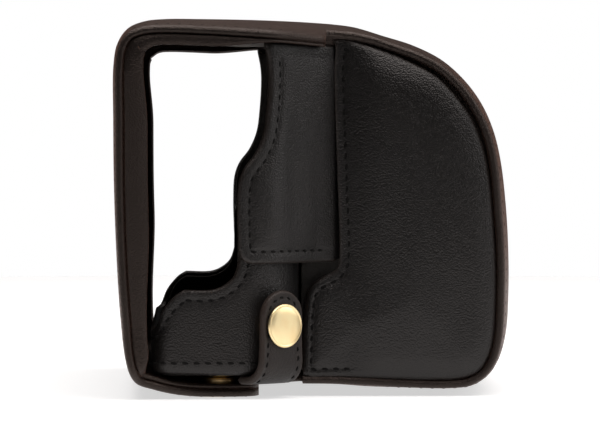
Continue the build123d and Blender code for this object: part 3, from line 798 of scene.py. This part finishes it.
wing_seam_inset = 3.0
wing = Panel(wing_loop, on_wing(0.0), wing_thick, edge=1.0, dome=0.35, seams=((wing_seam_inset, 0.45),),
             dome_reach=6.0, rise=wing_waves, seam_where=wing_sewn)
wing_seam = wing.path(wing_seam_inset, wing_edge)
liner_end = wing_end - 4
wing_liner_loop = outline(
    [(wing_u(y) + 1.0, z) for y, z in rear_side],
    [(wing_u(y) + 1.0, z + 0.9) for y, z in low_corner],
    *legs([(wing_u(14.0) + 1.0, 33.5), (liner_end, 33.5), (liner_end, 82.0), (wing_u(12.3) + 1.0, 85.2)]),
    step=1.6,
)
wing_liner = Panel(wing_liner_loop, on_wing(0.5), 0.55, edge=0.4, step=2.0)
for side, sign in SIDES:
    made = wing.build(f"{side}_wing_leather", black, "nose", (f"{side}_wing",), sign=sign)
    thread(f"{side}_wing_stitches", wing.stitches(wing_seam, sign), "nose")
    wing_liner.build(f"{side}_wing_suede", lining, "nose", (f"{side}_wing_lining",), sign)

# -------------------- half-case

shell_low, shell_high = mm_box("half_case_shell")
half_width, tray_front, tray_back, tray_bottom = -shell_low[0], shell_low[1], shell_high[1], shell_low[2]
front_radius, rear_radius = 18.0, 6.0
rear_straight = half_width - rear_radius
side_straight = (tray_back - rear_radius) - (tray_front + front_radius)
front_straight = half_width - front_radius
marks = np.cumsum([
    rear_straight, rear_radius * math.pi / 2, side_straight, front_radius * math.pi / 2, front_straight
])
half_length = marks[-1]


def tray_line(s, out):
    """A point on the tray's plan, out from its outer face, at a run from the middle of the rear."""
    flip = s > half_length
    s = np.where(flip, 2 * half_length - s, s)
    rear = np.clip((s - marks[0]) / rear_radius, 0, math.pi / 2)
    front = np.clip((s - marks[2]) / front_radius, 0, math.pi / 2)
    past = [s > mark for mark in marks[3::-1]]
    x = np.select(past, [
        -front_straight + (s - marks[3]), -front_straight - (front_radius + out) * np.cos(front),
        -half_width - out, -rear_straight - (rear_radius + out) * np.sin(rear),
    ], -s)
    y = np.select(past, [
        tray_front - out, tray_front + front_radius - (front_radius + out) * np.sin(front),
        tray_back - rear_radius - (s - marks[1]), tray_back - rear_radius + (rear_radius + out) * np.cos(rear),
    ], tray_back + out)
    return np.where(flip, -x, x), y


fold_radius = 2.4
wall_thick = 2.0


def on_tray(inner):
    """Up the wall from its turned foot; v is 0 where the straight wall starts."""

    def place(s, v, h):
        out = h - inner
        angle = np.clip(-v / fold_radius, 0, math.pi / 2)
        under = np.clip(-v - fold_radius * math.pi / 2, 0, None)
        radius = fold_radius + out
        level = np.where(v < 0, radius * np.cos(angle) - fold_radius, out) - under
        z = np.where(v < 0, tray_bottom + fold_radius - radius * np.sin(angle), tray_bottom + fold_radius + v)
        x, y = tray_line(s, level)
        return np.stack([x, y, z], axis=1)

    return place


foot_v = -(fold_radius * math.pi / 2 + 1.6)
base_z = tray_bottom + fold_radius
top_rear = 17.0 - base_z
top_side = 26.4 - base_z
top_column = shell_high[2] - base_z
scoop_radius, scoop_z = 33.0, 48.0
corner_s = marks[2]
left_top = [
    [(0, top_rear), (marks[0] + 1.5, top_rear)],
    [(marks[0] + 1.5, top_rear), (marks[0] + 3.6, top_rear + 0.7), (marks[0] + 6.0, top_rear + 4.6),
     (marks[1] + 0.2, top_side - 1.2), (marks[1] + 2.2, top_side)],
    [(marks[1] + 2.2, top_side), (marks[1] + 8.9, top_side), (marks[1] + 11.6, top_side + 1.0),
     (marks[1] + 14.2, top_side + 3.2), (corner_s + 3.2, top_side + 7.2)],
    [(corner_s + 3.2, top_side + 7.2), (corner_s + 3.3, top_column - 2.0)],
    [(corner_s + 3.3, top_column - 2.0), (corner_s + 3.9, top_column - 0.6), (corner_s + 5.3, top_column)],
    [(corner_s + 5.3, top_column), (half_length - 35.0, top_column)],
    [(half_length - 35.0, top_column), (half_length - 33.5, top_column - 0.5),
     (half_length - 32.8, top_column - 2.0)],
]
scoop = [
    (half_length + scoop_radius * math.sin(a), scoop_z - scoop_radius * math.cos(a) - base_z)
    for a in np.linspace(-math.asin(0.9945), 0, 24)
]
left_top.append([(half_length - 32.8, top_column - 2.0)] + scoop)
right_top = [[(2 * half_length - u, v) for u, v in run[::-1]] for run in left_top[::-1]]


def wall_outline(drop, low, step):
    """The wall's outline, its top lowered by drop and its foot at low."""
    end, rear = 2 * half_length, top_rear - drop
    top = [[(u, v - drop) for u, v in run] for run in left_top + right_top]
    return outline(*top, *legs([(end, rear), (end, low), (0, low), (0, rear)]), step=step)


wall_seam_inset = 2.6
shell = Panel(wall_outline(0.0, foot_v, 1.1), on_tray(wall_thick), wall_thick, edge=0.85,
              seams=((wall_seam_inset, 0.28),), seamless_u=(0.0, 2 * half_length), step=1.5)
shell.build("half_case_wall", black, "half_case", ("half_case_shell",))


def wall_top(u, v):
    return v > -2.0


wall_frames = shell.stitches(shell.path(wall_seam_inset, wall_top))
wall_frames += shell.stitches([
    (np.array([s, 0.7]), np.array([1.0, 0.0])) for s in np.arange(1.4, 2 * half_length, 2.75)
])
thread("half_case_stitches", wall_frames, "half_case")


wall_liner = Panel(wall_outline(1.3, 3.0, 1.6), on_tray(wall_thick + 0.62), 0.6, edge=0.4,
                   seamless_u=(0.0, 2 * half_length), step=2.4)
wall_liner.build("half_case_suede", lining, "half_case", ("half_case_lining",))


def plan_loop(inset, step=1.4):
    """The tray's plan, inset from its outer face."""
    s = np.arange(0, 2 * half_length, step)
    return anticlockwise(np.stack(tray_line(s, np.full(len(s), -inset)), axis=1))


def flat_at(z, way=1.0):
    return lambda u, v, h: np.stack([u, v, z + way * h], axis=1)


bush_low, bush_high = mm_box("screw_bush")
screw_x, screw_y = (bush_low[:2] + bush_high[:2]) / 2
bush_radius = (bush_high[0] - bush_low[0]) / 2
board_low = mm_box("base_board")[0][2]
pad_low, pad_top = (corner[2] for corner in mm_box("floor_pad"))
hole_turns = np.linspace(0, 2 * math.pi, 40, endpoint=False)
hole_radius = bush_radius - 0.1
base_hole = np.stack([
    screw_x + hole_radius * np.cos(hole_turns), screw_y + hole_radius * np.sin(hole_turns)
], axis=1)
base = Panel(plan_loop(4.0), flat_at(tray_bottom + wall_thick, -1.0), wall_thick, edge=0.7,
             holes=(base_hole,), step=2.2)
base.build("half_case_base", black, "half_case")
board = Panel(plan_loop(2.1), flat_at(board_low), 1.2, edge=0.3, holes=(base_hole,), step=3.0)
board.build("half_case_board", tan_board, "half_case", ("base_board",))
pad = Panel(plan_loop(2.75), flat_at(pad_low), 0.8, edge=0.7, holes=(base_hole,), seams=((3.2, 0.2),),
            step=2.4)
pad.build("half_case_floor_pad", lining, "half_case", ("floor_pad",))

# -------------------- snap tabs

tab_angle = math.radians(40)
out_way = np.array([-math.cos(tab_angle), -math.sin(tab_angle)])
along_way = np.array([out_way[1], -out_way[0]])
foot = np.array([-front_straight, tray_front + front_radius]) + front_radius * out_way
tab_half = 6.4
tab_wide = tab_half + 0.4
standoff = 1.5
tab_thick = 2.0
bend_z = 9.5
bend_inner = bend_z - mm_box("nose_tongue")[1][2]
bend_run = (bend_inner + tab_thick / 2) * math.pi / 2
tab_top = mm_box("left_tab")[1][2] - bend_z


def beside(out, aside):
    """Places out from the tray's face and along it, at the tab."""
    return tuple(foot[k] + out * out_way[k] + aside * along_way[k] for k in (0, 1))


def on_tab(s, v, h):
    """v is 0 where the bend starts; below it the tab curls in under the tray."""
    angle = np.clip(-v / (bend_inner + tab_thick / 2), 0, math.pi / 2)
    past = np.clip(-v - bend_run, 0, None)
    radius = bend_inner + h
    flare = np.clip((v - 2) / 18, 0, 1) ** 2 * 0.55
    out = np.where(v < 0, standoff - bend_inner + radius * np.cos(angle), standoff + h) - past + flare
    z = np.where(v < 0, bend_z - radius * np.sin(angle), bend_z + v)
    return np.stack([*beside(out, s), z], axis=1)


round_v = tab_top - tab_half
tab_arc = [
    (tab_half * math.cos(a), round_v + tab_half * math.sin(a)) for a in np.linspace(0, math.pi, 17)
]
tab_end = -(bend_run + 3.0)
tab_edge = [(tab_wide, tab_end), (tab_half + 0.3, -2.0), (tab_half, 4.0), (tab_half, round_v)]
tab_loop = outline(tab_edge, tab_arc, [(-s, v) for s, v in tab_edge[::-1]],
                   [(-tab_wide, tab_end), (tab_wide, tab_end)], step=0.8)
tab_seam_inset = 1.7
tab = Panel(tab_loop, on_tab, tab_thick, edge=0.6, dome=0.1, dome_reach=3.0, seams=((tab_seam_inset, 0.22),),
            step=0.9)


def tab_sides(u, v):
    return v > tab_end + 4.0


tab_seam = tab.path(tab_seam_inset, tab_sides, pitch=2.3)
hinge = next(j for j in frame["joints"] if j["name"] == "left_tab_hinge")["pos_m"]
for side, sign in SIDES:
    pivot = np.array(hinge) * (sign, 1, 1)
    way = np.array([out_way[0] * sign, out_way[1], 0]) * 0.7071 + np.array([0, 0, 0.7071])
    bend = ("nose", f"{side}_tab", tuple(pivot - way * 0.0008), tuple(pivot + way * 0.0062))
    tab.build(f"{side}_tab_strap", tab_brown, bend, (f"{side}_tab", f"{side}_tab_root"), sign=sign)
    thread(f"{side}_tab_stitches", tab.stitches(tab_seam, sign), bend, length=1.5, radius=0.22)

snap_low, snap_high = mm_box("left_tab_socket")
snap_z = (snap_low[2] + snap_high[2]) / 2


def on_snap(sign):
    """x across the tab, y up, h out from the tray's face."""

    def place(x, y, h):
        px, py = beside(h, x)
        return np.stack([px * sign, py, snap_z + y], axis=1)

    return place


cap_h = standoff + tab_thick + 0.28
cap_profile = [(r, cap_h + h) for r, h in (
    (0, 0.92), (1.6, 0.9), (3.2, 0.84), (4.2, 0.72), (4.55, 0.62), (4.7, 0.56), (4.82, 0.68), (5.0, 0.74),
    (5.18, 0.68), (5.3, 0.46), (5.32, 0.2), (5.2, 0.0), (4.6, -0.12), (1.4, -0.1), (1.4, -1.9), (0, -1.9),
)]
socket_profile = [
    (2.0, 0.6), (2.35, 0.5), (3.6, 0.52), (3.95, 0.65), (4.0, 0.9), (3.9, 1.3), (4.05, 1.45), (4.3, 1.55),
    (4.3, 1.72), (2.0, 1.72), (2.0, 1.5), (2.25, 1.1), (2.0, 0.8), (2.0, 0.6),
]
stud_profile = [
    (0, 1.36), (0.9, 1.34), (1.45, 1.22), (1.78, 0.98), (1.8, 0.8), (1.5, 0.5), (1.65, 0.3), (1.9, 0.24),
    (3.4, 0.27), (3.9, 0.2), (4.15, 0.06), (4.2, -0.2), (4.2, -0.5), (3.9, -0.6), (0, -0.6),
]
rivet_profile = [
    (0, -3.75), (2.4, -3.72), (3.3, -3.6), (3.6, -3.4), (3.55, -3.2), (2.6, -3.15), (1.4, -3.1), (1.4, -0.6),
    (0, -0.6),
]


def for_both(node, sign):
    """A node that holds the pieces of both sides is replaced with the left one."""
    return (node,) if sign > 0 else ()


for side, sign in SIDES:
    for part, profile, material, body, node in (
        ("tab_cap", cap_profile, brass, f"{side}_tab", (f"{side}_tab_cap",)),
        ("tab_socket", socket_profile, brass_dark, f"{side}_tab", (f"{side}_tab_socket",)),
        ("column_stud", stud_profile, brass_dark, "half_case", for_both("column_studs", sign)),
        ("column_rivet", rivet_profile, brass_dark, "half_case", for_both("column_rivets", sign)),
    ):
        lathe(f"{side}_{part}_brass", profile, on_snap(sign), material, body, node)

# -------------------- tongue under the tray

tongue_low, tongue_high = mm_box("nose_tongue")
curl = standoff - bend_inner
tongue_left = [
    (0, 1.6), (-50.6, 1.6), (-51.0, 4.0), beside(curl - 1.0, -tab_wide), beside(curl + 1.2, -tab_wide),
    beside(curl + 1.2, tab_wide), beside(curl - 3.0, tab_wide), (-57.5, 13.9), (-54.5, tongue_high[1]),
    (0, tongue_high[1]),
]
tongue_left = [(x, min(y, 19.0)) for x, y in tongue_left]
tongue_right = [(-x, y) for x, y in tongue_left[::-1]]
tongue = Panel(outline(*legs(tongue_left), *legs(tongue_right), step=1.6), flat_at(tongue_low[2] - 0.02), 1.98,
               edge=0.6, seams=((2.0, 0.15),), step=2.2)
tongue.build("nose_tongue_leather", band_leather_painted_warm, "nose", ("nose_tongue",))

# -------------------- press studs under the base, camera screw

cap_low, cap_high = mm_box("flap_snap_caps")
snap_x, snap_y = cap_high[0] - 5.0, (cap_low[1] + cap_high[1]) / 2


def flat_snap(sign):
    return lambda x, y, h: np.stack([x - sign * snap_x, snap_y + y, h], axis=1)


flap_cap = [
    (0, -0.02), (2.6, 0.0), (4.2, 0.12), (4.8, 0.35), (5.0, 0.7), (4.8, 0.95), (1.5, 0.95), (1.5, 3.0),
    (0, 3.0),
]
flap_socket = [
    (2.0, 4.45), (2.4, 4.55), (3.5, 4.5), (3.9, 4.3), (4.0, 3.9), (3.9, 3.4), (4.2, 3.05), (2.0, 3.0),
    (2.0, 3.6), (2.2, 4.0), (2.0, 4.45),
]
flap_stud = [
    (0, 3.32), (1.2, 3.35), (1.75, 3.55), (1.85, 3.9), (1.7, 4.3), (1.9, 4.75), (3.6, 4.85), (4.2, 5.0),
    (4.3, 5.3), (4.2, 5.5), (0, 5.5),
]
for side, sign in SIDES:
    for part, profile, material in (
        ("cap", flap_cap, brass), ("socket", flap_socket, brass_dark), ("stud", flap_stud, brass)
    ):
        lathe(f"{side}_flap_{part}_brass", profile, flat_snap(sign), material, "half_case",
              for_both(f"flap_snap_{part}s", sign))


def on_screw(x, y, h):
    return np.stack([screw_x + x, screw_y + y, h], axis=1)


def washer(node, hole, flat, radius, bevel):
    """A ring's closed profile between a node's lowest and highest faces."""
    low, high = (corner[2] for corner in mm_box(node))
    return [(hole, low), (flat, low), (radius, low + bevel), (radius, high - bevel), (flat, high),
            (hole, high), (hole, low)]


head_low, thread_tip = (corner[2] for corner in mm_box("camera_screw"))
thread_radius = 3.175
thread_pitch = 1.27


def thread_groove(angles, h):
    if h < pad_top + 0.2 or h > thread_tip - 0.25:
        return 0.0
    phase = (h / thread_pitch - angles / (2 * math.pi)) % 1.0
    return -0.75 * np.abs(phase - 0.5)


head_top = tray_bottom - 0.3
screw_profile = [
    (0, head_low + 0.9), (5.6, head_low + 0.9), (5.9, head_low + 0.75), (6.1, head_low), (7.6, head_low),
    (7.95, head_low + 0.25), (8.0, head_top - 0.3), (7.8, head_top), (2.6, head_top), (2.6, pad_top),
]
screw_profile += [(thread_radius, h) for h in np.arange(pad_top + 0.02, thread_tip - 0.5, 0.12)]
screw_profile += [(3.0, thread_tip - 0.35), (2.65, thread_tip), (0, thread_tip)]
lathe("camera_screw_steel", screw_profile, on_screw, steel, "camera_screw", ("camera_screw",),
      steps=72, groove=thread_groove)
lathe("screw_clip_steel", washer("screw_clip", 2.6, 5.2, 5.4, 0.15), on_screw, steel, "camera_screw",
      ("screw_clip",))
lathe("screw_bush_brass", washer("screw_bush", 2.75, 6.2, 6.5, 0.3), on_screw, brass_dark, "half_case",
      ("screw_bush",))

# -------------------- stitches on the swept bands

stitch_pitch = 2.75
stitch_depth = 0.2


def band_stitches(band, inset, keep):
    """Stitch frames along both edges of a band, at the stations that keep(y, z) picks."""
    stations = [i for i, (y, z) in enumerate(band.edge) if keep(y, z)]
    spots, above = (
        [band.point(i, inset - band.width[i], stitch_depth - up) for i in stations] for up in (0.0, 0.5)
    )
    # The line runs through six dimensions, spot and point above, so its steps are root two longer.
    line = resample(np.hstack([spots, above]), stitch_pitch / 2 * 1.42)
    frames = []
    for i in range(1, len(line) - 1, 2):
        c, n, w = line[i, :3], line[i, 3:] - line[i, :3], line[i + 1, :3] - line[i - 1, :3]
        frames += [(c, w, n), (c * (-1, 1, 1), w * (-1, 1, 1), n * (-1, 1, 1))]
    return frames


def back_part(y, z):
    return z > 12.5 and y > 6.0


def nose_part(y, z):
    return y < -10.5


def flap_part(y, z):
    return z < 1.0 and 16.0 < y < 37.0


thread("cover_hem_stitches", band_stitches(cover_band, 3.6, back_part), "cover_rear")
thread("nose_hem_stitches", band_stitches(nose_band, 4.6, nose_part), "nose")
flap_frames = band_stitches(cover_band, 2.4, flap_part)
for x in np.arange(-48.0, 48.1, stitch_pitch):
    flap_frames.append((np.array([x, 16.4, 0.25]), np.array([1.0, 0, 0]), np.array([0, 0, -1.0])))
thread("flap_stitches", flap_frames, "half_case")

# -------------------- camera, light and floor

camera_data = bpy.data.cameras.new("camera")
camera_data.sensor_width = 36.0
camera_data.lens = 273.9
camera_data.clip_start = 0.01
camera_data.clip_end = 50.0
camera = bpy.data.objects.new("camera", camera_data)
camera.location = (-1.16949, 0.027807, 0.069496)
camera.rotation_mode = "QUATERNION"
camera.rotation_quaternion = Vector((0.99954, -0.021234, -0.021815)).to_track_quat("-Z", "Y")
bpy.context.scene.collection.objects.link(camera)
bpy.context.scene.camera = camera


def area_light(name, place, power, size=(0.6, 0.6), target=(0.0, 0.0, 0.04), color=(1, 1, 1)):
    data = bpy.data.lights.new(name, "AREA")
    data.shape = "RECTANGLE"
    data.size, data.size_y = size
    data.energy = power
    data.color = color
    lamp = bpy.data.objects.new(name, data)
    lamp.location = place
    lamp.rotation_mode = "QUATERNION"
    lamp.rotation_quaternion = (Vector(target) - Vector(place)).to_track_quat("-Z", "Y")
    bpy.context.scene.collection.objects.link(lamp)


area_light("softbox_top", (-0.05, -0.1, 0.95), 17.0, (1.0, 1.5), (0.0, 0.0, 0.0), (1.0, 0.955, 0.935))
area_light("softbox_front", (-0.1, -1.0, 0.45), 3.4)
area_light("softbox_rear", (0.1, 1.0, 0.6), 1.0)
area_light("softbox_side", (-0.7, -0.05, 0.95), 1.0)

floor_mesh = bpy.data.meshes.new("floor")
floor_radius = 0.5
turns = np.linspace(0, 2 * math.pi, 96, endpoint=False)
floor_points = [(floor_radius * math.cos(a), floor_radius * math.sin(a), 0) for a in turns]
floor_mesh.from_pydata(floor_points, [], [list(range(len(turns)))])
floor = bpy.data.objects.new("floor", floor_mesh)
floor.location = (0.27, 0, -0.0002)
bpy.context.scene.collection.objects.link(floor)
floor_mesh.materials.append(Kit(bpy.data.materials.new("floor_pale")).surface(
    Roughness=0.85, Base_Color=rgba(0.55), Emission_Color=rgba(1), Emission_Strength=0.6
))

world = bpy.data.worlds.new("studio")
bpy.context.scene.world = world
sky = Kit(world)
lit = sky.get("Background", "Background", Color=rgba(1), Strength=0.03)
seen = sky.get("Background", "Background", Color=rgba(1), Strength=1.0)
backdrop = sky.get("Shader", "MixShader", sky.get("Is Camera Ray", "LightPath"), lit, seen)
sky.node("OutputWorld", Surface=backdrop)
bpy.context.scene.view_settings.view_transform = "Standard"
